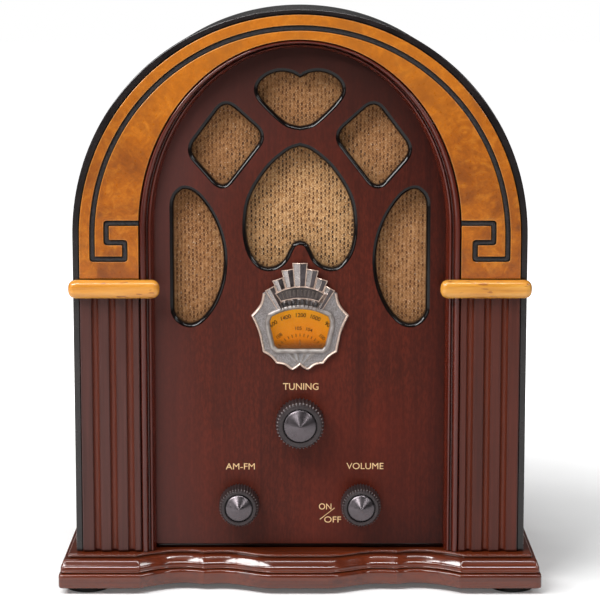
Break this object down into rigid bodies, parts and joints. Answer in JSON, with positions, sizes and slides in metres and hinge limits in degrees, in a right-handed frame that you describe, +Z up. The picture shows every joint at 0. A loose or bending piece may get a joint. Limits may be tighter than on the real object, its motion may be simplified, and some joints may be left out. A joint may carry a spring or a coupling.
{
  "type": "tabletop radio",
  "caption": "Cathedral-style wooden tabletop radio with an arched cabinet, pierced cloth-backed grille, lit tuning dial and rotary control knobs.",
  "frame": {"origin": "on the table under the middle of the radio, level with the bottom of its feet", "axes": "+Z up, the front with the knobs faces -Y, +X is to the right as seen from the front"},
  "size_m": [0.254, 0.178, 0.305],
  "materials": {
    "mahogany": "glossy red-brown stain with fine straight grain",
    "burl_veneer": "glossy golden burl veneer with dark mottling",
    "honey_wood": "glossy honey-coloured hardwood with fine flecks",
    "black_lacquer": "high gloss black lacquer",
    "grille_cloth": "coarse tan basket weave",
    "rubber": "matte",
    "knob_plastic": "semi-gloss dark brown",
    "spun_metal": "spun, dark anodised",
    "pewter": "antique pewter plating, pebbled field and bright edges",
    "window": "clear",
    "dial_card": "amber translucent with brown print",
    "steel": "zinc plated",
    "brass": "turned",
    "white_plastic": "moulded",
    "circuit_board": "solder resist",
    "ferrite": "sintered",
    "copper_winding": "enamelled wire",
    "cone_paper": "pulp",
    "hardboard": "dark pressed board",
    "black_plastic": "moulded"
  },
  "bodies": {
    "cabinet": {"base_plinth": "mahogany", "base_moulding": "mahogany", "front_panel": "mahogany", "bead_moulding": "mahogany", "pilaster_left": "mahogany", "pilaster_right": "mahogany", "back_cleat_left": "mahogany", "back_cleat_right": "mahogany", "foot_front_left": "rubber", "foot_front_right": "rubber", "foot_rear_left": "rubber", "foot_rear_right": "rubber", "cabinet_shell": "black_lacquer", "key_inlay": "black_lacquer", "arch_fascia": "burl_veneer", "capital_left": "honey_wood", "capital_right": "honey_wood", "grille_cloth": "grille_cloth", "escutcheon": "pewter", "dial_window": "window", "dial_lamp": "window", "volume_nut": "steel", "band_nut": "steel", "dial_plate": "steel", "volume_control": "steel", "band_switch": "steel", "speaker_basket": "steel", "transformer": "steel", "speaker_screw_1": "steel", "speaker_screw_2": "steel", "speaker_screw_3": "steel", "speaker_screw_4": "steel", "back_screw_1": "steel", "back_screw_2": "steel", "back_screw_3": "steel", "back_screw_4": "steel", "tuning_capacitor": "white_plastic", "rod_clip_left": "white_plastic", "rod_clip_right": "white_plastic", "tuning_bushing": "brass", "speaker_magnet": "ferrite", "ferrite_rod": "ferrite", "main_board": "circuit_board", "antenna_coil": "copper_winding", "back_panel": "hardboard", "power_inlet": "black_plastic"},
    "tuning": {"tuning_knob": "knob_plastic", "tuning_knob_cap": "spun_metal", "tuning_shaft": "steel", "tuning_pinion": "brass"},
    "dial": {"dial_disc": "dial_card", "dial_gear": "white_plastic", "dial_shaft": "steel"},
    "volume": {"volume_knob": "knob_plastic", "volume_knob_cap": "spun_metal", "volume_shaft": "steel"},
    "band": {"band_knob": "knob_plastic", "band_knob_cap": "spun_metal", "band_shaft": "steel"},
    "cone": {"speaker_cone": "cone_paper"}
  },
  "joints": [
    {"name": "tuning_turn", "type": "hinge", "parent": "cabinet", "child": "tuning", "pos_m": [0, -0.067, 0.0888], "axis": [0, 1, 0], "range_deg": [-320, 320]},
    {"name": "dial_turn", "type": "hinge", "parent": "cabinet", "child": "dial", "pos_m": [0, -0.063, 0.1208], "axis": [0, 1, 0], "range_deg": [-90, 90]},
    {"name": "volume_turn", "type": "hinge", "parent": "cabinet", "child": "volume", "pos_m": [0.0322, -0.067, 0.0448], "axis": [0, 1, 0], "range_deg": [0, 300]},
    {"name": "band_turn", "type": "hinge", "parent": "cabinet", "child": "band", "pos_m": [-0.0322, -0.067, 0.0448], "axis": [0, 1, 0], "range_deg": [0, 60]},
    {"name": "cone_travel", "type": "slide", "parent": "cabinet", "child": "cone", "axis": [0, 1, 0], "range_m": [-0.0015, 0.0015], "stiffness_N_per_m": 1500}
  ],
  "couplings": [
    {"joint": "dial_turn", "follows": "tuning_turn", "ratio": -0.28}
  ]
}
